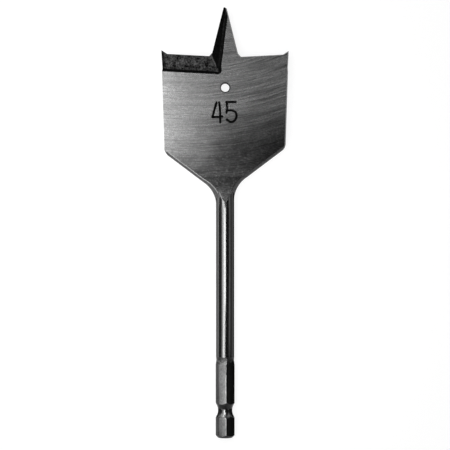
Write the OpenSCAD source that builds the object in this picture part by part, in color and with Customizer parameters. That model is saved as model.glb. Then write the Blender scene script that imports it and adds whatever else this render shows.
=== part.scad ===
// Spade drill bit: a forged flat blade with a pilot point, spurs and hook-ground lips,
// on a round stem with a hex shank. One piece of steel.
// It lies on its back with the numbered face up: X across the blade, Y along the axis
// towards the pilot point, Z up. The origin is on the floor under the middle of its length.

/* [Overall] */
// Length from the shank end to the pilot tip
overall_l = 152; // [135:1:200]
// Width over the spurs, which is the hole that the bit drills
blade_w = 45; // [36:1:52]
// Thickness of the blade
blade_t = 2.8; // [2.2:0.1:3.4]

/* [Pilot point] */
// Height of the tip above the inner ends of the lips
pilot_l = 17.3; // [14:0.1:20]
// Angle between each edge of the pilot and the axis
pilot_angle = 14; // [11:0.5:16]
// Half width of the blunted tip
tip_half_w = 0.6; // [0.4:0.05:0.9]
// Width of the slanted foot on each side of the pilot
foot_w = 1; // [0.6:0.1:1.6]
// Height of the slanted foot on each side of the pilot
foot_h = 1.2; // [0.6:0.1:2]

/* [Cutting edges] */
// Rise of the lips towards the spurs, in degrees
lip_rise = 3; // [1:0.5:5]
// Height of the spurs above the lips
spur_h = 1.3; // [0.8:0.1:2]
// Width of the spurs at their foot
spur_w = 2; // [1.4:0.1:3]
// Relief angle behind every cutting edge
relief = 10; // [6:1:13]
// Inward taper of the blade's sides towards the shank, in degrees
side_taper = 1.8; // [0.6:0.1:3]

/* [Hook grinds] */
// Hook angle of the ground face behind each lip
hook = 10; // [6:1:12]
// Width of the hook grind, from the lip to the top of its wall
grind_w = 6; // [4.8:0.1:7.5]
// Corner radius that the grinding wheel leaves
wheel_r = 1.2; // [1:0.1:1.5]
// Width of the web of full thickness between the two grinds
web_w = 3; // [2.4:0.1:4]
// Width of the grind's floor at the tip of the pilot
tip_grind_w = 1; // [0.8:0.1:1.6]

/* [Shoulders and neck] */
// Length of the blade from the inner ends of the lips to the shoulder corners
blade_l = 33.3; // [28:0.1:38]
// Step between the two shoulders, left by the trimming die
shoulder_step = 1.8; // [0:0.1:2.5]
// Slope of the shoulders, in degrees
shoulder_angle = 37; // [32:0.5:42]
// Radius of the shoulder corners
corner_r = 4; // [3:0.1:5]
// Radius of the fillets between the shoulders and the stem
neck_r = 10; // [8:0.5:12]
// Draft angle of the forged flanks on each side of the parting line
flank_draft = 29; // [20:1:32]
// Length of the ramps from the top of the stem down to the blade's faces
ramp_l = 9; // [7:0.5:11]

/* [Stem and hex shank] */
// Diameter of the stem
stem_d = 6.4; // [5.8:0.1:6.6]
// Width of the hex across its flats
hex_af = 6.3; // [6.1:0.05:6.6]
// Height that the rounding takes off each corner of the hex
hex_round = 0.21; // [0.1:0.01:0.26]
// Length of the hex shank at its full width
hex_l = 25.7; // [20:0.1:38]
// Angle at which the hex's flats sink into the stem
lead_angle = 9; // [6:0.5:14]
// Turn of the hex about the axis, in degrees
hex_turn = 10; // [0:1:15]
// Distance of the chuck groove from the shank end
groove_at = 9.7; // [8:0.1:12]
// Diameter at the bottom of the groove
groove_d = 5; // [4.4:0.1:5.4]
// Radius of the groove's profile
groove_r = 4; // [3:0.1:6]
// Chamfer at the shank end
end_chamfer = 0.9; // [0.6:0.1:1.5]

/* [Hanging hole] */
// Diameter of the hole in the blade
hole_d = 3; // [2:0.1:5]
// Distance of the hole below the inner ends of the lips
hole_drop = 11.1; // [9:0.1:16]

/* [Hidden] */
$fn = 96;

steel_colour = [0.46, 0.46, 0.47];
// Overlap that keeps blended surfaces crossing instead of merely touching
blend = 0.04;
// Depth of the ground floors below the blade's face at the cutting edge
edge_drop = 0.05;
// Size of cutting blocks, larger than the blade is wide
reach = 1.5 * blade_w;

half_t = blade_t / 2;
half_w = blade_w / 2;
stem_r = stem_d / 2;

// Outline of the left half's cutting edges on the front face. The edges of the blunted tip
// meet above the point that their relief leaves in the middle of the thickness
tip_slope = 45;
tip_y = overall_l + half_t * tan(relief) / cos(tip_slope);
tip_side = [-tip_half_w, tip_y - tip_half_w * tan(tip_slope)];
lip_y = overall_l - pilot_l;
foot_y = lip_y + foot_h;
pilot_foot = [tip_side[0] - (tip_side[1] - foot_y) * tan(pilot_angle), foot_y];
lip_in = pilot_foot - [foot_w, foot_h];
lip_out = [spur_w - half_w, lip_y + (lip_in[0] + half_w - spur_w) * tan(lip_rise)];
spur_tip = [-half_w, lip_out[1] + spur_h];
lip_at_axis = [0, lip_y + lip_in[0] * tan(lip_rise)];

// Shoulder corners, fillet centres, ramps and the half height of the neck's web
function side_x(y) = half_w - (spur_tip[1] - y) * tan(side_taper);
function corner_y(side) = lip_y - blade_l + side * shoulder_step / 2;
fillet_x = stem_r + neck_r;
function fillet_y(side) =
    corner_y(side) - (side_x(corner_y(side)) - fillet_x) * tan(shoulder_angle)
    - neck_r / cos(shoulder_angle);
ramp_lead = 0.55;
ramp_y = (fillet_y(-1) + fillet_y(1)) / 2 + ramp_lead;
ramp_slope = (stem_r - half_t) / ramp_l;
ramp_tail = 1;
stem_end_y = ramp_y + ramp_l + ramp_tail;
web_h = 0.8 * stem_r;

// Hook grinds: the place and depth of the inner corner, where the two ground floors meet
floor_w = grind_w - wheel_r;
floor_depth = edge_drop + floor_w * tan(hook);
corner_x = -web_w / 2 - wheel_r;
corner_run = (corner_x - lip_in[0] + floor_w * sin(lip_rise)) / cos(lip_rise);
grind_corner = lip_in
    + corner_run * [cos(lip_rise), -sin(lip_rise)]
    - floor_w * [sin(lip_rise), cos(lip_rise)];
pilot_dir = [sin(pilot_angle), cos(pilot_angle)];
pilot_in = [cos(pilot_angle), -sin(pilot_angle)];
corner_along = (grind_corner - pilot_foot) * pilot_dir;
corner_across = (grind_corner - pilot_foot) * pilot_in;
pilot_hook = atan((floor_depth - edge_drop) / corner_across);
tip_along = (tip_side - pilot_foot) * pilot_dir;

// Hex shank
hex_sharp_r = hex_af / 2 / cos(30);
hex_corner_r = hex_sharp_r - hex_round;
hex_arc = 30 - acos(hex_af / 2 / hex_corner_r);
rest_h = hex_corner_r * cos(max(0, abs(hex_turn) - hex_arc));

// The narrowing hex ends inside the stem, and the stem grows out of the hex's flats
lead_end_r = 0.8 * stem_r;
lead_l = (hex_af / 2 - lead_end_r) / tan(lead_angle);
root_sink = 0.35;
root_overlap = 0.3;
root_y = hex_l - root_overlap;
root_l = 2.8;

// Turns a shape that is drawn along Z to lie along the axis of the bit
module along_axis() {
    rotate([-90, 0, 0])
        children();
}

// Places a profile, drawn as distance along Y against height, across the whole width
module across_blade(length) {
    rotate([90, 0, 90])
        linear_extrude(length, center = true)
            children();
}

// Repeats a shape half a turn round the axis, for the cutting edge on the other face
module both_edges() {
    for (turn = [0, 180])
        rotate([0, turn, 0])
            children();
}

// Block that leaves a relieved face below the edge from a to b, with the waste on its left
module edge_cut(a, b, ahead = reach) {
    edge = b - a;
    translate([a[0], a[1], half_t])
        rotate([0, 0, atan2(edge[1], edge[0])])
            rotate([-relief, 0, 0])
                translate([-reach, 0, -reach])
                    cube([reach + norm(edge) + ahead, reach, 2 * reach]);
}

// Flat stock of the blade's thickness between two opposite corners
module stock(low, high) {
    translate([low[0], low[1], -half_t])
        cube([high[0] - low[0], high[1] - low[1], blade_t]);
}

// Blade below the lips
module blade_body() {
    oversize = 2;
    top = spur_tip[1] + oversize;
    difference() {
        stock([-half_w - oversize, fillet_y(1) + oversize], [half_w + oversize, top]);
        both_edges()
            edge_cut(lip_out, lip_at_axis, ahead = 0);
    }
}

// Spur at the outer end of a lip
module spur() {
    root = 2.5 * spur_h;
    difference() {
        stock([-half_w - spur_w, lip_out[1] - root], [lip_out[0] + spur_w, spur_tip[1] + spur_h]);
        edge_cut(spur_tip, lip_out);
    }
}

// Pilot point, with its root inside the blade
module pilot() {
    root_y = lip_y - foot_h;
    root_half_w = -lip_in[0];
    difference() {
        stock([-root_half_w, root_y], [root_half_w, tip_y]);
        both_edges() {
            edge_cut(pilot_foot, tip_side);
            edge_cut(tip_side, [0, tip_y]);
        }
    }
}

// Slanted foot where the pilot meets a lip
module pilot_foot_web() {
    difference() {
        stock(lip_in - [foot_w, foot_h], [-foot_w, pilot_foot[1] + foot_h]);
        edge_cut(lip_in, pilot_foot);
    }
}

// Blade with its lips, spurs and pilot, before forging the shoulders
module blade_head() {
    side_foot = [-side_x(corner_y(-1)), corner_y(-1)];
    difference() {
        union() {
            blade_body();
            pilot();
            both_edges() {
                spur();
                pilot_foot_web();
            }
        }
        both_edges()
            edge_cut(side_foot, spur_tip);
    }
}

// What the ramps leave of the stem and the neck, where both faces fall to the blade
module between_ramps() {
    ramp_top = 1.5 * stem_r;
    ramp_top_y = ramp_y - (ramp_top - stem_r) / ramp_slope;
    end_h = half_t - ramp_tail * ramp_slope;
    intersection() {
        children();
        across_blade(reach)
            polygon([
                [0, -ramp_top], [ramp_top_y, -ramp_top], [stem_end_y, -end_h],
                [stem_end_y, end_h], [ramp_top_y, ramp_top], [0, ramp_top]
            ]);
    }
}

// Round stem, which runs on into the neck
module stem() {
    between_ramps()
        along_axis()
            rotate_extrude()
                polygon([
                    [0, root_y], [stem_r - root_sink, root_y],
                    [stem_r, root_y + root_l], [stem_r, stem_end_y], [0, stem_end_y]
                ]);
}

// Thick web on both sides of the stem, which thins out to the blade
module neck_web() {
    between_ramps()
        for (side = [-1, 1])
            translate([side * fillet_x / 2, (fillet_y(side) + stem_end_y) / 2, 0])
                cube([fillet_x + blend, stem_end_y - fillet_y(side), 2 * web_h], center = true);
}

// Section outside a forged flank, waisted at the parting line
module flank_section(inner, waist) {
    rise = 2 * stem_r;
    run = rise * tan(flank_draft);
    polygon([
        [inner, -rise], [waist + run, -rise], [waist, 0], [waist + run, rise], [inner, rise]
    ]);
}

// Waste outside one shoulder and its fillet, seen on the right of the blade
module flank_waste(side) {
    translate([fillet_x, fillet_y(side), 0]) {
        rotate_extrude()
            flank_section(0, neck_r + blend);
        rotate([0, 0, shoulder_angle])
            translate([reach / 2, 0, 0])
                across_blade(reach)
                    flank_section(-2 * neck_r, neck_r);
    }
}

// Waste outside the rounded corner between one side and its shoulder
module corner_waste(side) {
    inset = corner_r - blend / 2;
    spread = cos(side_taper + shoulder_angle);
    lean_x = (cos(shoulder_angle) - sin(side_taper)) / spread;
    lean_y = (cos(side_taper) - sin(shoulder_angle)) / spread;
    outside = corner_r + 1;
    translate([side_x(corner_y(side)) - inset * lean_x, corner_y(side) + inset * lean_y, 0])
        linear_extrude(2 * blade_t, center = true)
            difference() {
                polygon([
                    [0, 0],
                    outside * [cos(side_taper), -sin(side_taper)],
                    outside * [lean_x, -lean_y],
                    outside * [sin(shoulder_angle), -cos(shoulder_angle)]
                ]);
                circle(corner_r);
            }
}

// Wheel corner that rolls from one point to another along the foot of a grind's wall
module wheel_path(from, to) {
    way = to - from;
    translate(from)
        rotate([0, acos(way[2] / norm(way)), atan2(way[1], way[0])])
            cylinder(norm(way), wheel_r, wheel_r);
}

// Everything that one hook grind takes off the front face: a floor that falls away from the
// lip, a second floor that falls away from the pilot's edge, and the rounded walls behind them
module hook_grind() {
    clear = 2 * blade_t;
    edge_z = half_t - edge_drop;
    wheel_z = half_t - blend + wheel_r;
    tip_drop = edge_drop + tip_grind_w * tan(pilot_hook);
    tip_point = pilot_foot + tip_along * pilot_dir + tip_grind_w * pilot_in;
    corner = [grind_corner[0], grind_corner[1], wheel_z - floor_depth];
    tip = [tip_point[0], tip_point[1], wheel_z - tip_drop];

    translate([lip_in[0], lip_in[1], edge_z])
        rotate([hook, 0, -lip_rise])
            linear_extrude(clear)
                polygon([
                    [-reach, clear], [corner_run, clear],
                    [corner_run, -floor_w / cos(hook)], [-reach, -floor_w / cos(hook)]
                ]);
    translate([pilot_foot[0], pilot_foot[1], edge_z])
        rotate([pilot_hook, 0, 90 - pilot_angle])
            linear_extrude(clear)
                polygon([
                    [corner_along, clear], [tip_along + clear, clear],
                    [tip_along + clear, -tip_grind_w / cos(pilot_hook)],
                    [corner_along, -corner_across / cos(pilot_hook)]
                ]);
    wheel_path(corner, corner - reach * [cos(lip_rise), -sin(lip_rise), 0]);
    wheel_path(corner, tip + (tip - corner) / 4);
    translate(corner)
        sphere(wheel_r + blend);
}

// Hex bar with sharp corners, whose flats lean inwards at its upper end
module hex_bar() {
    difference() {
        cylinder(hex_l + lead_l, hex_sharp_r, hex_sharp_r, $fn = 6);
        for (facet = [30:60:330])
            rotate([0, 0, facet])
                translate([hex_af / 2, 0, hex_l])
                    rotate([0, -lead_angle, 0])
                        translate([0, -hex_af, -lead_l])
                            cube([hex_af, 2 * hex_af, 3 * lead_l]);
    }
}

// Hex shank with rounded corners, a chamfered end and the chuck groove
module hex_shank() {
    intersection() {
        along_axis()
            rotate([0, 0, 90 + hex_turn])
                hex_bar();
        along_axis()
            rotate_extrude()
                difference() {
                    polygon([
                        [0, 0], [hex_corner_r - end_chamfer, 0], [hex_corner_r, end_chamfer],
                        [hex_corner_r, hex_l + lead_l], [0, hex_l + lead_l]
                    ]);
                    translate([groove_d / 2 + groove_r, groove_at])
                        circle(groove_r);
                }
    }
}

// Blade and web inside the forged flanks
module forged_blade() {
    difference() {
        union() {
            blade_head();
            neck_web();
        }
        flank_waste(1);
        corner_waste(1);
        mirror([1, 0, 0]) {
            flank_waste(-1);
            corner_waste(-1);
        }
    }
}

module spade_bit() {
    color(steel_colour)
        translate([0, -overall_l / 2, rest_h])
            difference() {
                union() {
                    forged_blade();
                    stem();
                    hex_shank();
                }
                both_edges()
                    hook_grind();
                translate([0, lip_y - hole_drop, -blade_t])
                    cylinder(2 * blade_t, hole_d / 2, hole_d / 2);
            }
}

spade_bit();
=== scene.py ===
"""Spade drill bit: the dressed visual model, the studio around it and the camera."""

import logging
import math
from dataclasses import dataclass, field
from enum import Enum

import bpy
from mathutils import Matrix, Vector


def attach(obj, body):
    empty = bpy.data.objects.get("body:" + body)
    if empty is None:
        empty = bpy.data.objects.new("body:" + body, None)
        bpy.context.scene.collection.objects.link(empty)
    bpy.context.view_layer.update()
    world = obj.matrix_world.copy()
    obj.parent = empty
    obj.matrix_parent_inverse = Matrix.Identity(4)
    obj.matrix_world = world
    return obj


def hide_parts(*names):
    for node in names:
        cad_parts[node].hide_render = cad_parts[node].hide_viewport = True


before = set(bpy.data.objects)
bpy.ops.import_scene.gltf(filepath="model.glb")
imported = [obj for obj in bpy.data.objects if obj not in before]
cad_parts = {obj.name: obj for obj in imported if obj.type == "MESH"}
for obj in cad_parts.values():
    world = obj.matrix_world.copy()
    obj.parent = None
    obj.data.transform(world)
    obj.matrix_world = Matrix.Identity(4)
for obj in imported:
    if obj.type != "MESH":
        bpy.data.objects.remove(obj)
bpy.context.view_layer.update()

LOG = logging.getLogger("spade_bit")
MM = 0.001
CAD_NODE = "spade_bit"
BODY = "root"
AXIS_H = 3.422
NOISE_SPAN = (0.3, 0.7)

Socket = bpy.types.NodeSocket
Span = tuple[float, float]


class Zone(Enum):
    """The surfaces of the bit, each with a finish of its own."""

    GROUND_FACE = 0
    LIP_FLOOR = 1
    RELIEF = 2
    FLANK = 3
    STEM = 4
    HEX = 5
    GROOVE = 6
    STAMP = 7
    EDGE = 8
    GRIND_WALL = 9
    SHANK_END = 10
    RIDGE = 11


class Wear(Enum):
    """How an edge is worn: the rounding's width in millimetres, and its zone if it has its own."""

    SHOULDER = (0.2, Zone.EDGE)
    NECK = (0.12, Zone.EDGE)
    GRIND = (0.3, Zone.GRIND_WALL)
    RIDGE = (0.35, Zone.RIDGE)
    HOLE = (0.35, Zone.GRIND_WALL)
    PLAIN = (0.1, None)
    CUTTING = (0.04, None)


class Wiring:
    """Adds shader nodes to one node tree and links them."""

    def __init__(self, tree: bpy.types.NodeTree) -> None:
        """Keeps the tree that the nodes go into.

        Args:
            tree: The node tree of a material, a world or a node group.
        """
        self.tree = tree

    def node(self, kind: str, **settings: object) -> bpy.types.Node:
        """Adds one node.

        Args:
            kind: The node's type name.
            settings: Values for the node's own properties.

        Returns:
            The new node.
        """
        made = self.tree.nodes.new(kind)
        for name, value in settings.items():
            setattr(made, name, value)
        return made

    def feed(self, socket: Socket, value: object) -> None:
        """Links a socket to another one, or sets its plain value.

        Args:
            socket: The input that is fed.
            value: An output socket, a number, or a tuple of numbers.
        """
        if isinstance(value, Socket):
            self.tree.links.new(value, socket)
        else:
            socket.default_value = value

    def fed(self, kind: str, values: tuple[object, ...], **settings: object) -> bpy.types.Node:
        """Adds one node and feeds its first inputs in order.

        Args:
            kind: The node's type name.
            values: What its inputs take, as sockets or plain values.
            settings: Values for the node's own properties.

        Returns:
            The new node.
        """
        made = self.node(kind, **settings)
        for socket, value in zip(made.inputs, values):
            self.feed(socket, value)
        return made

    def calc(self, operation: str, *values: object) -> Socket:
        """Adds a Math node.

        Args:
            operation: The operation's name.
            values: Its inputs, as sockets or numbers.

        Returns:
            The result's socket.
        """
        return self.fed("ShaderNodeMath", values, operation=operation).outputs[0]

    def product(self, first: Socket, *others: object) -> Socket:
        """Multiplies several values.

        Args:
            first: The first factor.
            others: The other factors, as sockets or numbers.

        Returns:
            The product's socket.
        """
        for other in others:
            first = self.calc("MULTIPLY", first, other)
        return first

    def split(self, vector: Socket) -> tuple[Socket, Socket, Socket]:
        """Gives the three parts of a vector."""
        return tuple(self.fed("ShaderNodeSeparateXYZ", (vector,)).outputs)

    def join(self, *parts: object) -> Socket:
        """Makes a vector of three parts, as sockets or numbers."""
        return self.fed("ShaderNodeCombineXYZ", parts).outputs[0]

    def scale(self, vector: Socket, factor: object) -> Socket:
        """Scales a vector by a socket or a number."""
        made = self.fed("ShaderNodeVectorMath", (vector,), operation="SCALE")
        self.feed(made.inputs["Scale"], factor)
        return made.outputs[0]

    def noise(
        self, vector: Socket, scale: float, detail: float = 2.0, rough: float = 0.5
    ) -> Socket:
        """Adds a Noise Texture.

        Args:
            vector: The coordinates.
            scale: Its scale, in turns per unit of the coordinates.
            detail: The number of finer octaves.
            rough: The weight of each finer octave.

        Returns:
            The noise's value, about 0.5 on average.
        """
        made = self.node("ShaderNodeTexNoise")
        self.feed(made.inputs["Vector"], vector)
        made.inputs["Scale"].default_value = scale
        made.inputs["Detail"].default_value = detail
        made.inputs["Roughness"].default_value = rough
        return made.outputs[0]

    def spread(self, value: Socket, given: Span, wanted: Span, smooth: bool = False) -> Socket:
        """Adds a Map Range node that clamps.

        Args:
            value: The value to map.
            given: The two inputs that give the ends of the result.
            wanted: The results at these inputs.
            smooth: Whether the result eases in and out.

        Returns:
            The mapped value.
        """
        ease = "SMOOTHSTEP" if smooth else "LINEAR"
        entries = (value, *given, *wanted)
        return self.fed("ShaderNodeMapRange", entries, interpolation_type=ease).outputs[0]

    def grey(self, value: Socket) -> Socket:
        """Makes a neutral colour of a value."""
        return self.fed("ShaderNodeCombineColor", (value,) * 3).outputs[0]


class Pattern:
    """A shader node group that several finishes share, built once."""

    def __init__(self, name: str, inputs: dict[str, float]) -> None:
        """Makes the group's interface.

        Args:
            name: The group's name.
            inputs: Its numeric inputs, with their defaults.
        """
        self.tree = bpy.data.node_groups.new(name, "ShaderNodeTree")
        sockets = self.tree.interface
        sockets.new_socket("Vector", in_out="INPUT", socket_type="NodeSocketVector")
        for key, value in inputs.items():
            socket = sockets.new_socket(key, in_out="INPUT", socket_type="NodeSocketFloat")
            socket.default_value = value
        sockets.new_socket("Mask", in_out="OUTPUT", socket_type="NodeSocketFloat")
        self.wiring = Wiring(self.tree)
        self.given = self.wiring.node("NodeGroupInput").outputs
        self.result = self.wiring.node("NodeGroupOutput").inputs["Mask"]

    def place(self, wiring: Wiring, vector: Socket, **values: float) -> Socket:
        """Puts the group into a material.

        Args:
            wiring: The material's wiring.
            vector: The coordinates that the group reads.
            values: Values for its other inputs.

        Returns:
            The group's mask.
        """
        made = wiring.node("ShaderNodeGroup", node_tree=self.tree)
        wiring.feed(made.inputs["Vector"], vector)
        for key, value in values.items():
            made.inputs[key].default_value = value
        return made.outputs["Mask"]


@dataclass(frozen=True)
class MarkSize:
    """The measures of one set of grinding or drawing marks, in millimetres."""

    length: float
    width: float
    wander: float


class MarkPattern(Pattern):
    """Grinding or drawing marks: noise that is stretched along the first axis."""

    DRIFT_SCALE = 0.12
    DETAIL = 3.0
    ROUGH = 0.6

    def __init__(self) -> None:
        """Builds the group."""
        super().__init__("LongMarks", {"Length": 20.0, "Width": 0.5, "Wander": 0.3})
        wires = self.wiring
        x, y, z = wires.split(self.given["Vector"])
        along = wires.calc("DIVIDE", x, self.given["Length"])
        drift = wires.noise(self.given["Vector"], self.DRIFT_SCALE, 1.0)
        bent = wires.calc("MULTIPLY_ADD", drift, self.given["Wander"], y)
        across = wires.calc("DIVIDE", bent, self.given["Width"])
        stretched = wires.join(along, across, z)
        wires.feed(self.result, wires.noise(stretched, 1.0, self.DETAIL, self.ROUGH))

    def draw(self, wires: Wiring, vector: Socket, size: MarkSize) -> Socket:
        """Puts marks of one size into a material.

        Args:
            wires: The material's wiring.
            vector: Coordinates whose first axis runs along the marks.
            size: The marks' measures.

        Returns:
            The marks' mask.
        """
        return self.place(wires, vector, Length=size.length, Width=size.width, Wander=size.wander)


class MottlePattern(Pattern):
    """Blotches and pits of a surface that was left as forged."""

    BROAD = (0.7, 3.0, 0.65)
    FINE = (2.6, 2.0, 0.6)
    FINE_SHARE = 0.55
    RANGE = (0.36, 0.66)

    def __init__(self) -> None:
        """Builds the group."""
        super().__init__("Mottle", {"Grain": 1.0})
        wires = self.wiring
        place = wires.scale(self.given["Vector"], wires.calc("DIVIDE", 1.0, self.given["Grain"]))
        broad = wires.calc("MULTIPLY", wires.noise(place, *self.BROAD), 1.0 - self.FINE_SHARE)
        mixed = wires.calc("MULTIPLY_ADD", wires.noise(place, *self.FINE), self.FINE_SHARE, broad)
        wires.feed(self.result, wires.spread(mixed, self.RANGE, (0.0, 1.0)))


@dataclass(frozen=True)
class Patterns:
    """The node groups that the finishes share."""

    marks: MarkPattern = field(default_factory=MarkPattern)
    mottle: MottlePattern = field(default_factory=MottlePattern)


def around(middle: float, swing: float) -> Span:
    """Gives the two ends of a range from its middle."""
    return middle - swing, middle + swing


@dataclass(frozen=True)
class Finish:
    """A finish of the steel. Lengths in its patterns are millimetres."""

    name: str
    grey: float
    roughness: float
    anisotropy: float = 0.0
    edge_tint: float = 1.0
    # Painted shade: over this span of x, in millimetres, the tone falls to the next value on the
    # +X side.
    right_shade_from_to: Span = (0.2, 0.8)
    right_shade_tone: float = 1.0

    def start(self) -> tuple[bpy.types.Material, Wiring, bpy.types.Node, Socket]:
        """Makes a material with its shader and the coordinates in millimetres.

        Returns:
            The material, its wiring, its Principled shader and its coordinates.
        """
        made = bpy.data.materials.new(self.name)
        made.use_nodes = True
        made.node_tree.nodes.clear()
        wires = Wiring(made.node_tree)
        shader = wires.node("ShaderNodeBsdfPrincipled")
        wires.feed(wires.node("ShaderNodeOutputMaterial").inputs["Surface"], shader.outputs[0])
        shader.inputs["Metallic"].default_value = 1.0
        shader.inputs["Roughness"].default_value = self.roughness
        shader.inputs["Anisotropic"].default_value = self.anisotropy
        shader.inputs["Specular Tint"].default_value = (self.edge_tint,) * 3 + (1.0,)
        shader.inputs["Base Color"].default_value = (self.grey,) * 3 + (1.0,)
        place = wires.node("ShaderNodeTexCoord").outputs["Object"]
        return made, wires, shader, wires.scale(place, 1.0 / MM)

    def roughen(self, wires: Wiring, shader: bpy.types.Node, height: Socket, depth: float) -> None:
        """Puts a bump on the shader.

        Args:
            wires: The material's wiring.
            shader: Its Principled shader.
            height: The height's pattern, about 0 to 1.
            depth: The height of the pattern, in millimetres.
        """
        bump = wires.node("ShaderNodeBump")
        bump.inputs["Strength"].default_value = 1.0
        bump.inputs["Distance"].default_value = depth * MM
        wires.feed(bump.inputs["Height"], height)
        wires.feed(shader.inputs["Normal"], bump.outputs[0])

    def gloss(
        self, wires: Wiring, shader: bpy.types.Node, mask: Socket, span: Span, swing: float
    ) -> None:
        """Makes the bright spots of a pattern smoother than its dark ones.

        Args:
            wires: The material's wiring.
            shader: Its Principled shader.
            mask: The pattern.
            span: The pattern's darkest and brightest values.
            swing: How far the roughness goes to either side.
        """
        wanted = around(self.roughness, swing)[::-1]
        wires.feed(shader.inputs["Roughness"], wires.spread(mask, span, wanted))

    def painted_right_shade(self, wires: Wiring, across: Socket) -> Socket:
        """Gives the painted shade that darkens the +X side of the bit.

        Args:
            wires: The material's wiring.
            across: The place across the bit, in millimetres.

        Returns:
            The tone, 1 on the other side.
        """
        return wires.spread(across, self.right_shade_from_to, (1.0, self.right_shade_tone))

    def material(self, patterns: Patterns) -> bpy.types.Material:
        """Builds the finish.

        Args:
            patterns: The shared node groups; not used here.

        Returns:
            The material.
        """
        return self.start()[0]


@dataclass(frozen=True)
class GroundFinish(Finish):
    """A face that was ground by a large wheel, which leaves long shallow arcs.

    Towards the neck the arcs fade into a dark skin with blotches and specks.
    """

    centre: Span = (-12.4, 139.0)
    radius: float = 97.0
    fine: MarkSize = MarkSize(16.0, 0.42, 0.6)
    broad: MarkSize = MarkSize(34.0, 2.2, 2.0)
    fine_share: float = 0.6
    mark_depth: float = 0.006
    contrast: Span = (0.5, 0.9)
    contrast_x: Span = (-15.0, 15.0)
    grain: float = 0.22
    grain_scale: float = 2.4
    gloss_swing: float = 0.06
    skin_tone: float = 0.2
    skin_grain: float = 1.4
    skin_swing: float = 0.4
    skin_marks: Span = (0.55, 1.45)
    speck_scale: float = 1.4
    speck_from_to: Span = (0.52, 0.72)
    speck_tone: Span = (0.85, 1.6)
    neck_y: Span = (15.6, 12.0)
    neck_blend: float = 0.6
    neck_tone: float = 1.75
    fade_slant: Span = (0.55, 0.2)
    fade_from_to: Span = (21.0, 47.0)
    fade_scale: float = 0.12
    fade_wave: float = 8.0

    def skin(self, wires: Wiring, place: Socket, mottle: Socket, marks: Socket) -> Socket:
        """Gives the tone of the dark skin by the neck, with painted shade on its +X side.

        Args:
            wires: The material's wiring.
            place: The coordinates in millimetres.
            mottle: The blotches.
            marks: The grinding marks.

        Returns:
            The skin's tone.
        """
        x, y, _ = wires.split(place)
        low, high = around(1.0, self.skin_swing)
        tones = [wires.spread(mottle, (0.0, 1.0), (low * self.skin_tone, high * self.skin_tone))]
        specks = wires.noise(place, self.speck_scale, 1.0)
        tones.append(wires.spread(specks, self.speck_from_to, self.speck_tone))
        tones.append(wires.spread(marks, NOISE_SPAN, self.skin_marks))
        # Painted shade on the +X side of the skin.
        tones.append(self.painted_right_shade(wires, x))
        for start in self.neck_y:
            tones.append(wires.spread(y, around(start, self.neck_blend), (self.neck_tone, 1.0)))
        return wires.product(*tones)

    def fade(self, wires: Wiring, place: Socket) -> Socket:
        """Gives the mask of the ground part, 1 away from the neck.

        Args:
            wires: The material's wiring.
            place: The coordinates in millimetres.

        Returns:
            The mask.
        """
        x, y, _ = wires.split(place)
        west, east = self.fade_slant
        level = wires.calc("MULTIPLY_ADD", x, -(west + east) / 2, y)
        level = wires.calc("MULTIPLY_ADD", wires.calc("ABSOLUTE", x), (west - east) / 2, level)
        level = wires.calc("SUBTRACT", level, self.fade_wave / 2)
        wave = wires.noise(place, self.fade_scale, 2.0)
        level = wires.calc("MULTIPLY_ADD", wave, self.fade_wave, level)
        return wires.spread(level, self.fade_from_to, (0.0, 1.0), smooth=True)

    def material(self, patterns: Patterns) -> bpy.types.Material:
        """Builds the finish, as Finish.material says."""
        made, wires, shader, place = self.start()
        x, y, z = wires.split(place)
        across = wires.calc("SUBTRACT", x, self.centre[0])
        below = wires.calc("SUBTRACT", self.centre[1], y)
        turn = wires.calc("MULTIPLY", wires.calc("ARCTAN2", across, below), self.radius)
        square = wires.calc("MULTIPLY_ADD", across, across, wires.calc("MULTIPLY", below, below))
        arc = wires.join(turn, wires.calc("SQRT", square), z)
        fine = patterns.marks.draw(wires, arc, self.fine)
        broad = patterns.marks.draw(wires, arc, self.broad)
        broad = wires.calc("MULTIPLY", broad, 1.0 - self.fine_share)
        marks = wires.calc("MULTIPLY_ADD", fine, self.fine_share, broad)
        depth = wires.spread(x, self.contrast_x, self.contrast)
        swing = wires.spread(marks, NOISE_SPAN, (-1.0, 1.0))
        ground = wires.calc("MULTIPLY_ADD", swing, depth, 1.0)
        mottle = patterns.mottle.place(wires, place, Grain=self.skin_grain)
        skin = self.skin(wires, place, mottle, marks)
        bared = wires.calc("SUBTRACT", ground, skin)
        tone = wires.calc("MULTIPLY_ADD", bared, self.fade(wires, place), skin)
        grain = wires.noise(place, self.grain_scale, 1.0)
        grain = wires.spread(grain, NOISE_SPAN, around(1.0, self.grain))
        colour = wires.grey(wires.product(tone, grain, self.grey))
        wires.feed(shader.inputs["Base Color"], colour)
        self.gloss(wires, shader, marks, NOISE_SPAN, self.gloss_swing)
        spoke = wires.join(across, wires.calc("MULTIPLY", below, -1.0), 0.0)
        tangent = wires.fed("ShaderNodeVectorMath", (spoke,), operation="NORMALIZE")
        wires.feed(shader.inputs["Tangent"], tangent.outputs[0])
        self.roughen(wires, shader, fine, self.mark_depth)
        return made


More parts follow.
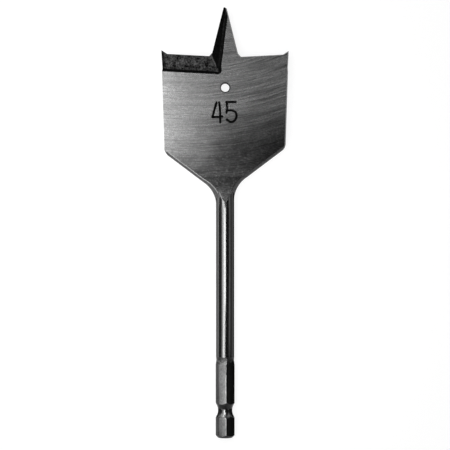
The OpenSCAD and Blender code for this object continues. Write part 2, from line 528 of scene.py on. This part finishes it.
@dataclass(frozen=True)
class ForgedFinish(Finish):
    """Dark steel with blotches, as it comes from the forge and the rough wheel."""

    contrast: float = 0.7
    mottle_from_to: Span = (0.15, 0.85)
    grain: float = 0.8
    pit: float = 0.05
    end_from_to: Span = (21.2, 21.9)
    end_tone: float = 1.0
    gloss_swing: float = 0.1

    def material(self, patterns: Patterns) -> bpy.types.Material:
        """Builds the finish, as Finish.material says."""
        made, wires, shader, place = self.start()
        x = wires.split(place)[0]
        mottle = patterns.mottle.place(wires, place, Grain=self.grain)
        blotch = wires.spread(mottle, self.mottle_from_to, around(1.0, self.contrast))
        end = wires.spread(wires.calc("ABSOLUTE", x), self.end_from_to, (1.0, self.end_tone))
        # Painted shade darkens the +X side in the tone below.
        tone = wires.product(blotch, end, self.painted_right_shade(wires, x), self.grey)
        wires.feed(shader.inputs["Base Color"], wires.grey(tone))
        self.gloss(wires, shader, mottle, (0.0, 1.0), self.gloss_swing)
        self.roughen(wires, shader, mottle, self.pit)
        return made


@dataclass(frozen=True)
class DrawnFinish(Finish):
    """Bar steel with fine lines along the bit's axis. Its sides, at about the axis' height, are
    darkened with painted shade, and so is its +X side.
    """

    contrast: float = 0.1
    line: MarkSize = MarkSize(18.0, 0.25, 0.1)
    line_depth: float = 0.002
    stain: float = 0.1
    stain_grain: float = 1.2
    # Painted shade on the sides: over this span of height off the axis, in millimetres, the tone
    # rises from the next value to 1.
    side_shade_rise: Span = (0.0, 0.1)
    side_shade_tone: float = 1.0
    gloss_swing: float = 0.03

    def material(self, patterns: Patterns) -> bpy.types.Material:
        """Builds the finish, as Finish.material says."""
        made, wires, shader, place = self.start()
        x, y, z = wires.split(place)
        lines = patterns.marks.draw(wires, wires.join(y, x, z), self.line)
        mottle = patterns.mottle.place(wires, place, Grain=self.stain_grain)
        # Painted shade: the sides near the axis' height and the +X side are darker.
        rise = wires.calc("ABSOLUTE", wires.calc("SUBTRACT", z, AXIS_H))
        tone = wires.product(
            wires.spread(lines, NOISE_SPAN, around(1.0, self.contrast)),
            wires.spread(rise, self.side_shade_rise, (self.side_shade_tone, 1.0)),
            self.painted_right_shade(wires, x),
            wires.spread(mottle, (0.0, 1.0), around(1.0, self.stain)),
            self.grey,
        )
        wires.feed(shader.inputs["Base Color"], wires.grey(tone))
        self.gloss(wires, shader, mottle, (0.0, 1.0), self.gloss_swing)
        self.roughen(wires, shader, lines, self.line_depth)
        return made


# Each finish's shade settings paint shade into its colour: on the +X side, and for drawn steel
# also on the sides at the axis' height.
FINISHES: dict[Zone, Finish] = {
    Zone.GROUND_FACE: GroundFinish(
        "ground_face", 0.28, 0.28, anisotropy=0.7, right_shade_from_to=(-4.0, 4.0), right_shade_tone=0.76
    ),
    Zone.LIP_FLOOR: ForgedFinish(
        "lip_floor", 0.032, 0.5, contrast=1.0, grain=1.3, pit=0.09, end_tone=0.3
    ),
    Zone.RELIEF: ForgedFinish("relief_grind", 0.06, 0.45, contrast=0.4),
    Zone.FLANK: ForgedFinish(
        "forged_flank", 0.09, 0.4, contrast=0.3, pit=0.02, right_shade_from_to=(0.5, 2.5), right_shade_tone=0.5
    ),
    Zone.STEM: DrawnFinish(
        "drawn_stem", 0.2, 0.155, edge_tint=0.3, side_shade_rise=(1.2, 2.3), side_shade_tone=0.42,
        right_shade_from_to=(1.7, 2.2), right_shade_tone=0.38,
    ),
    Zone.HEX: DrawnFinish(
        "hex_shank", 0.25, 0.2, edge_tint=0.3, stain=0.2, side_shade_rise=(1.9, 3.35), side_shade_tone=0.3,
        right_shade_tone=0.34,
    ),
    Zone.GROOVE: DrawnFinish(
        "turned_groove", 0.18, 0.2, edge_tint=0.3, line=MarkSize(18.0, 3.0, 0.1), stain=0.0,
        side_shade_rise=(1.8, 2.1), side_shade_tone=0.15, right_shade_tone=0.45,
    ),
    Zone.STAMP: ForgedFinish("stamped_mark", 0.005, 0.6, pit=0.03),
    Zone.EDGE: DrawnFinish(
        "worn_edge", 0.28, 0.28, edge_tint=0.3, side_shade_rise=(1.22, 1.36), side_shade_tone=0.3,
        right_shade_from_to=(-1.0, 3.0), right_shade_tone=0.35,
    ),
    Zone.GRIND_WALL: ForgedFinish("grind_wall", 0.008, 0.5, pit=0.03),
    Zone.SHANK_END: DrawnFinish("shank_end", 0.04, 0.4, stain=0.3),
    Zone.RIDGE: ForgedFinish("worn_ridge", 0.09, 0.45, contrast=0.4, right_shade_tone=0.4),
}


@dataclass
class StampedNumber:
    """The size number, pressed into the blade by a single-stroke stamp. Points are millimetres."""

    stroke_w: float = 0.9
    depth: float = 0.3
    cap_scale: float = 1.002
    strokes: tuple[tuple[Span, ...], ...] = (
        ((-3.05, 42.3), (-4.5, 37.2)),
        ((-4.5, 37.15), (-2.2, 37.2), (-1.0, 37.4)),
        ((-2.1, 42.3), (-1.95, 41.2), (-1.8, 39.5), (-1.7, 37.2), (-1.7, 35.35)),
        ((0.45, 42.45), (1.9, 42.55), (3.7, 42.45)),
        ((0.6, 42.3), (0.68, 41.0), (0.62, 39.8), (0.47, 38.65)),
        (
            (0.7, 39.5), (1.85, 39.62), (2.75, 39.55), (3.6, 38.95), (4.03, 38.1), (4.03, 37.3),
            (3.68, 36.3), (2.8, 35.5), (1.9, 35.4), (1.2, 35.7), (0.65, 36.35),
        ),
    )

    def rod(self, stroke: tuple[Span, ...], height: float) -> bpy.types.Object:
        """Draws one stroke as a round rod.

        Args:
            stroke: The stroke's points, in millimetres.
            height: The height of the rod's axis, in metres.

        Returns:
            The rod, still a curve.
        """
        curve = bpy.data.curves.new("stroke", "CURVE")
        curve.dimensions = "3D"
        curve.bevel_depth = self.stroke_w / 2 * MM
        curve.bevel_resolution = 4
        curve.use_fill_caps = True
        bent = len(stroke) > 2
        line = curve.splines.new("NURBS" if bent else "POLY")
        line.points.add(len(stroke) - 1)
        for point, (x, y) in zip(line.points, stroke):
            point.co = (x * MM, y * MM, height, 1.0)
        if bent:
            line.order_u = 3
            line.use_endpoint_u = True
            line.resolution_u = 6
        made = bpy.data.objects.new("stroke", curve)
        bpy.context.scene.collection.objects.link(made)
        return made

    def cap(self, end: Span, height: float) -> bpy.types.Object:
        """Adds the ball that rounds one end of a stroke.

        Args:
            end: The stroke's end, in millimetres.
            height: The height of the ball's middle, in metres.

        Returns:
            The ball.
        """
        bpy.ops.mesh.primitive_uv_sphere_add(
            segments=16, ring_count=10, radius=self.stroke_w / 2 * MM * self.cap_scale,
            location=(end[0] * MM, end[1] * MM, height),
        )
        return bpy.context.object

    def cutter(self, face_z: float) -> bpy.types.Object:
        """Builds the solid that presses the strokes into the face.

        Args:
            face_z: The height of the blade's face, in metres.

        Returns:
            The joined solid of all strokes.
        """
        height = face_z + (self.stroke_w / 2 - self.depth) * MM
        rods = [self.rod(stroke, height) for stroke in self.strokes]
        bpy.ops.object.select_all(action="DESELECT")
        for piece in rods:
            piece.select_set(True)
        bpy.context.view_layer.objects.active = rods[0]
        bpy.ops.object.convert(target="MESH")
        ends = [end for stroke in self.strokes for end in (stroke[0], stroke[-1])]
        for piece in rods + [self.cap(end, height) for end in ends]:
            piece.select_set(True)
        bpy.context.view_layer.objects.active = rods[0]
        bpy.ops.object.join()
        joined = bpy.context.object
        bpy.ops.object.transform_apply(location=True, rotation=True, scale=True)
        return joined


@dataclass
class BitBody:
    """The whole forged bit: a copy of the solid's mesh with worn edges, a stamp and its finishes.

    Lengths are millimetres in the part's frame, and angles are radians. Names that end in n, nx
    or nz are limits on parts of a face's normal.
    """

    half_t: float = 1.4
    stem_r: float = 3.2
    stem_rings: tuple[float, ...] = (-47.5, -46.0, 5.0)
    end_y: float = -75.0
    groove_end_y: float = -68.4
    groove_y: float = -66.3
    groove_top_y: float = -65.85
    groove_reach: float = 3.35
    groove_r: float = 3.1
    hex_end_y: float = -50.3
    root_y: float = -47.5
    lead_end_y: float = -46.5
    neck_y: float = 5.9
    ramp_top_y: float = 20.0
    shoulder_y: float = 27.0
    side_x: float = 20.0
    hole_y: float = 47.6
    hole_r: float = 1.5
    hole_slack: float = 0.1
    hole_rim: float = 0.3
    ridge_x: float = 5.2
    grind_y: float = 51.0
    web_y: float = 55.0
    face_slack: float = 0.02
    flat_nz: float = 0.999
    wall_nz: float = 0.2
    lip_floor_nz: float = math.cos(math.radians(24.0))
    level_nx: float = 0.02
    slope_n: float = 0.05
    stem_slope_n: float = 0.03
    stem_slack: float = 0.08
    weld: float = 0.002
    flat_angle: float = math.radians(0.2)
    ridge_angle: float = math.radians(10.0)
    worn_angle: float = math.radians(12.0)
    smooth_angle: float = math.radians(24.0)
    sharp_angle: float = math.radians(28.0)
    stamp: StampedNumber = field(default_factory=StampedNumber)

    def zone_of(self, centre: Vector, normal: Vector) -> Zone:
        """Says which surface a face of the solid belongs to.

        Args:
            centre: The middle of the face, in millimetres.
            normal: The face's normal.

        Returns:
            The face's zone.
        """
        height = centre.z - AXIS_H
        if centre.y < self.neck_y:
            return self.zone_of_shank(centre, normal)
        at_face = abs(abs(height) - self.half_t) < self.face_slack
        on_face = at_face and abs(normal.z) > self.flat_nz
        if centre.y > self.grind_y and not (on_face and centre.x * height > 0):
            if normal.z * height <= 0 or abs(normal.z) < self.wall_nz:
                return Zone.RELIEF
            falls_from_lip = abs(normal.z) > self.lip_floor_nz and abs(normal.x) < self.slope_n
            return Zone.LIP_FLOOR if falls_from_lip else Zone.GRIND_WALL
        rises = abs(normal.x) < self.level_nx and normal.y > self.slope_n
        if on_face or (rises and centre.y < self.ramp_top_y):
            return Zone.GROUND_FACE
        if math.hypot(centre.x, centre.y - self.hole_y) < self.hole_r + self.hole_slack:
            return Zone.GRIND_WALL
        off_stem = abs(math.hypot(centre.x, height) - self.stem_r)
        if abs(normal.y) < self.stem_slope_n and off_stem < self.stem_slack:
            return Zone.STEM
        on_side = abs(centre.x) > self.side_x and centre.y > self.shoulder_y
        return Zone.RELIEF if on_side else Zone.FLANK

    def zone_of_shank(self, centre: Vector, normal: Vector) -> Zone:
        """Says which surface of the stem or the hex shank a face belongs to.

        Args:
            centre: The middle of the face, in millimetres.
            normal: The face's normal.

        Returns:
            The face's zone.
        """
        if centre.y > self.lead_end_y:
            return Zone.STEM
        if centre.y > self.hex_end_y and normal.y <= self.slope_n:
            return Zone.STEM if centre.y > self.root_y else Zone.RIDGE
        if centre.y > self.hex_end_y:
            return Zone.HEX
        if centre.y < self.end_y:
            return Zone.SHANK_END
        in_groove = abs(centre.y - self.groove_y) < self.groove_reach
        near_axis = math.hypot(centre.x, centre.z - AXIS_H) < self.groove_r
        if not (in_groove and (abs(normal.y) > self.slope_n or near_axis)):
            return Zone.HEX
        deep = self.groove_end_y < centre.y < self.groove_top_y
        return Zone.GROOVE if deep else Zone.SHANK_END

    def copy_solid(self) -> bpy.types.Object:
        """Copies the solid's mesh and joins its loose triangles into faces.

        Returns:
            The new object.
        """
        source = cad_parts[CAD_NODE]
        piece = bpy.data.objects.new("forged_bit", source.data.copy())
        bpy.context.scene.collection.objects.link(piece)
        piece.data.materials.clear()
        self.choose(piece)
        bpy.ops.mesh.customdata_custom_splitnormals_clear()
        bpy.ops.object.mode_set(mode="EDIT")
        bpy.ops.mesh.select_all(action="SELECT")
        bpy.ops.mesh.remove_doubles(threshold=self.weld * MM)
        bpy.ops.mesh.dissolve_limited(angle_limit=self.flat_angle)
        for ring_y in self.stem_rings:
            bpy.ops.mesh.select_all(action="SELECT")
            bpy.ops.mesh.bisect(plane_co=(0.0, ring_y * MM, 0.0), plane_no=(0.0, 1.0, 0.0))
        bpy.ops.object.mode_set(mode="OBJECT")
        return piece

    @staticmethod
    def choose(piece: bpy.types.Object) -> None:
        """Makes one object the only selected one and the active one."""
        bpy.ops.object.select_all(action="DESELECT")
        piece.select_set(True)
        bpy.context.view_layer.objects.active = piece

    def press_number(self, piece: bpy.types.Object) -> None:
        """Presses the size number into the blade's upper face.

        Args:
            piece: The bit, whose pressed faces take the cutter's material.
        """
        cutter = self.stamp.cutter((AXIS_H + self.half_t) * MM)
        cutter.data.materials.clear()
        cutter.data.materials.append(piece.data.materials[Zone.STAMP.value])
        self.choose(piece)
        cut = piece.modifiers.new("stamp", "BOOLEAN")
        cut.operation = "DIFFERENCE"
        cut.solver = "EXACT"
        cut.use_self = True
        cut.object = cutter
        cut.material_mode = "TRANSFER"
        bpy.ops.object.modifier_apply(modifier=cut.name)
        bpy.data.objects.remove(cutter)

    def wear_of(self, zones: set[Zone], middle: Vector, turn: float) -> Wear | None:
        """Says how an edge is worn.

        Args:
            zones: The zones of its two faces.
            middle: The middle of the edge, in millimetres.
            turn: The angle between its two faces.

        Returns:
            The edge's wear, or None where it stays as it is.
        """
        if Zone.STAMP in zones:
            return None
        if zones == {Zone.LIP_FLOOR, Zone.GRIND_WALL}:
            on_ridge = abs(middle.x) < self.ridge_x
            return Wear.RIDGE if on_ridge and self.ridge_angle < turn < self.sharp_angle else None
        if zones == {Zone.GROUND_FACE, Zone.STEM}:
            return Wear.NECK if turn > self.worn_angle else None
        if zones == {Zone.GROUND_FACE, Zone.FLANK}:
            return Wear.SHOULDER if turn > self.worn_angle else None
        if turn < self.sharp_angle:
            return None
        if zones == {Zone.GROUND_FACE, Zone.GRIND_WALL}:
            if math.hypot(middle.x, middle.y - self.hole_y) < self.hole_r + self.hole_rim:
                return Wear.HOLE
            return Wear.GRIND if middle.y < self.web_y else Wear.CUTTING
        return Wear.CUTTING if middle.y > self.grind_y else Wear.PLAIN

    def soften(self, piece: bpy.types.Object, wear: Wear) -> None:
        """Rounds the edges that are worn in one way.

        Args:
            piece: The bit.
            wear: The kind of wear.
        """
        width, zone = wear.value
        mesh = piece.data
        beside: dict[tuple[int, int], list[bpy.types.MeshPolygon]] = {}
        for face in mesh.polygons:
            for key in face.edge_keys:
                beside.setdefault(key, []).append(face)
        weights = []
        for edge in mesh.edges:
            pair = beside.get(edge.key, [])
            weight = 0.0
            if len(pair) == 2:
                ends = [mesh.vertices[index].co for index in edge.vertices]
                zones = {Zone(face.material_index) for face in pair}
                turn = pair[0].normal.angle(pair[1].normal, 0.0)
                weight = float(self.wear_of(zones, (ends[0] + ends[1]) / 2 / MM, turn) is wear)
            weights.append(weight)
        layer = mesh.attributes.new("bevel_weight_edge", "FLOAT", "EDGE")
        layer.data.foreach_set("value", weights)
        self.choose(piece)
        bevel = piece.modifiers.new("worn_edges", "BEVEL")
        bevel.width = width * MM
        bevel.segments = 3
        bevel.use_clamp_overlap = False
        bevel.limit_method = "WEIGHT"
        bevel.material = -1 if zone is None else zone.value
        bpy.ops.object.modifier_apply(modifier=bevel.name)
        mesh.attributes.remove(mesh.attributes["bevel_weight_edge"])

    def shade(self, piece: bpy.types.Object) -> None:
        """Shades round surfaces smooth and keeps flat faces flat up to their rounded edges.

        Args:
            piece: The bit.
        """
        self.choose(piece)
        bpy.ops.object.shade_smooth_by_angle(angle=self.smooth_angle)
        weighted = piece.modifiers.new("flat_faces", "WEIGHTED_NORMAL")
        weighted.keep_sharp = True
        weighted.weight = 100
        bpy.ops.object.modifier_apply(modifier=weighted.name)

    def build(self, patterns: Patterns) -> bpy.types.Object:
        """Builds and dresses the bit.

        Args:
            patterns: The shared node groups.

        Returns:
            The finished piece.
        """
        piece = self.copy_solid()
        for zone in Zone:
            piece.data.materials.append(FINISHES[zone].material(patterns))
        for face in piece.data.polygons:
            face.material_index = self.zone_of(face.center / MM, face.normal).value
        self.press_number(piece)
        for wear in Wear:
            self.soften(piece, wear)
        self.shade(piece)
        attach(piece, BODY)
        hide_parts(CAD_NODE)
        return piece


@dataclass
class Panel:
    """One soft panel light. Lengths are metres."""

    name: str
    place: tuple[float, float, float]
    size: Span
    radiance: float
    aimed: bool = False

    def build(self) -> bpy.types.Object:
        """Adds the panel, facing the bit.

        Returns:
            The light.
        """
        bpy.ops.object.light_add(type="AREA", location=self.place)
        made = bpy.context.object
        made.name = self.name
        made.data.shape = "RECTANGLE"
        made.data.size, made.data.size_y = self.size
        made.data.energy = self.radiance * math.pi * self.size[0] * self.size[1]
        made.visible_camera = False
        if self.aimed:
            made.rotation_euler = Vector(self.place).to_track_quat("Z", "Y").to_euler()
        return made


@dataclass
class Studio:
    """The pale floor, the panels and the dim room. Lengths are metres.

    The panels over the bit show in its bright faces from above. The aimed ones light its sides.
    """

    room_low: float = 0.05
    room_high: float = 0.02
    room_from_to: Span = (0.6, 0.75)
    floor_size: float = 12.0
    floor_grey: float = 0.9
    floor_glow: float = 1.1
    floor_show: float = 0.8
    panels: tuple[Panel, ...] = (
        Panel("stem_key", (-0.011, -0.013, 0.125), (0.05, 0.046), 5.1),
        Panel("shank_key", (-0.02175, -0.0655, 0.125), (0.0285, 0.059), 7.6),
        Panel("stem_fade_1", (-0.053, -0.0425, 0.125), (0.034, 0.105), 2.0),
        Panel("stem_fade_2", (-0.093, -0.0425, 0.125), (0.046, 0.105), 1.35),
        Panel("blade_key", (-0.063, 0.09, 0.125), (0.064, 0.16), 3.4),
        Panel("blade_fade_1", (-0.026, 0.09, 0.125), (0.01, 0.16), 1.0),
        Panel("blade_fade_2", (-0.015, 0.09, 0.125), (0.012, 0.16), 0.47),
        Panel("blade_fade_3", (0.0015, 0.09, 0.125), (0.021, 0.16), 0.32),
        Panel("blade_fade_4", (0.018, 0.09, 0.125), (0.012, 0.16), 0.36),
        Panel("blade_fade_5", (0.032, 0.09, 0.125), (0.016, 0.16), 0.29),
        Panel("stem_strip", (0.156, -0.0165, 0.0955), (0.083, 0.06), 0.36, True),
        Panel("blade_side_1", (0.3, 0.085, 0.178), (0.11, 0.2), 0.45, True),
        Panel("blade_side_2", (-0.3, 0.085, 0.178), (0.11, 0.2), 0.45, True),
        Panel("fill_1", (0.75, 0.75, 0.5), (0.8, 0.6), 1.3, True),
        Panel("fill_2", (-0.75, 0.75, 0.5), (0.8, 0.6), 1.3, True),
        Panel("fill_3", (-0.75, -0.75, 0.5), (0.8, 0.6), 1.3, True),
        Panel("fill_4", (0.75, -0.75, 0.5), (0.8, 0.6), 1.3, True),
        Panel("fill_5", (0.0, 1.1, 0.45), (0.5, 0.5), 0.9, True),
        Panel("fill_6", (0.0, -1.1, 0.45), (0.5, 0.5), 0.9, True),
    )

    def build_floor(self) -> bpy.types.Object:
        """Adds the floor, which shows white and keeps a soft shadow.

        Returns:
            The floor.
        """
        bpy.ops.mesh.primitive_plane_add(size=self.floor_size)
        floor = bpy.context.object
        floor.name = "floor"
        made = bpy.data.materials.new("pale_floor")
        made.use_nodes = True
        made.node_tree.nodes.clear()
        wires = Wiring(made.node_tree)
        paint = wires.node("ShaderNodeBsdfDiffuse")
        paint.inputs["Color"].default_value = (self.floor_grey,) * 3 + (1.0,)
        glow = wires.node("ShaderNodeEmission")
        glow.inputs["Strength"].default_value = self.floor_glow
        rays = wires.node("ShaderNodeLightPath").outputs
        seen = wires.calc("MAXIMUM", rays["Is Camera Ray"], rays["Is Glossy Ray"])
        seen = wires.calc("MAXIMUM", seen, rays["Is Transmission Ray"])
        share = wires.calc("MULTIPLY", seen, self.floor_show)
        mixed = wires.fed("ShaderNodeMixShader", (share, paint.outputs[0], glow.outputs[0]))
        wires.feed(wires.node("ShaderNodeOutputMaterial").inputs["Surface"], mixed.outputs[0])
        floor.data.materials.append(made)
        return floor

    def build_room(self) -> bpy.types.World:
        """Makes the dim room, whose walls are paler than its ceiling.

        Returns:
            The scene's world.
        """
        world = bpy.data.worlds.new("dim_room")
        world.use_nodes = True
        wires = Wiring(world.node_tree)
        up = wires.split(wires.node("ShaderNodeTexCoord").outputs["Generated"])[2]
        back = world.node_tree.nodes["Background"]
        back.inputs["Color"].default_value = (1.0, 1.0, 1.0, 1.0)
        strength = wires.spread(up, self.room_from_to, (self.room_low, self.room_high))
        wires.feed(back.inputs["Strength"], strength)
        bpy.context.scene.world = world
        return world

    def build(self) -> None:
        """Builds the floor, the panels and the room."""
        self.build_floor()
        for panel in self.panels:
            panel.build()
        self.build_room()


@dataclass
class Viewpoint:
    """The camera, straight above the bit. Lengths are millimetres."""

    height: float = 604.0
    target: tuple[float, float, float] = (-0.05, -0.885, 4.0)
    frame_w: float = 158.9
    sensor_w: float = 36.0
    clip: Span = (10.0, 50000.0)

    def build(self) -> bpy.types.Object:
        """Adds the camera and makes it the scene's own.

        Returns:
            The camera.
        """
        x, y, z = (value * MM for value in self.target)
        bpy.ops.object.camera_add(location=(x, y, self.height * MM), rotation=(0.0, 0.0, 0.0))
        camera = bpy.context.object
        camera.name = "camera"
        camera.data.sensor_width = self.sensor_w
        camera.data.lens = self.sensor_w * (self.height * MM - z) / (self.frame_w * MM)
        camera.data.clip_start, camera.data.clip_end = (value * MM for value in self.clip)
        bpy.context.scene.camera = camera
        return camera


def main() -> None:
    """Builds the bit, the studio and the camera."""
    logging.basicConfig(level=logging.INFO, format="%(message)s")
    bpy.ops.object.select_all(action="DESELECT")
    piece = BitBody().build(Patterns())
    LOG.info("%s: %d faces", piece.name, len(piece.data.polygons))
    studio = Studio()
    studio.build()
    LOG.info("studio: floor and %d panels", len(studio.panels))
    Viewpoint().build()
    LOG.info("camera placed")
    bpy.context.scene.view_settings.view_transform = "Standard"


if __name__ == "__main__":
    main()
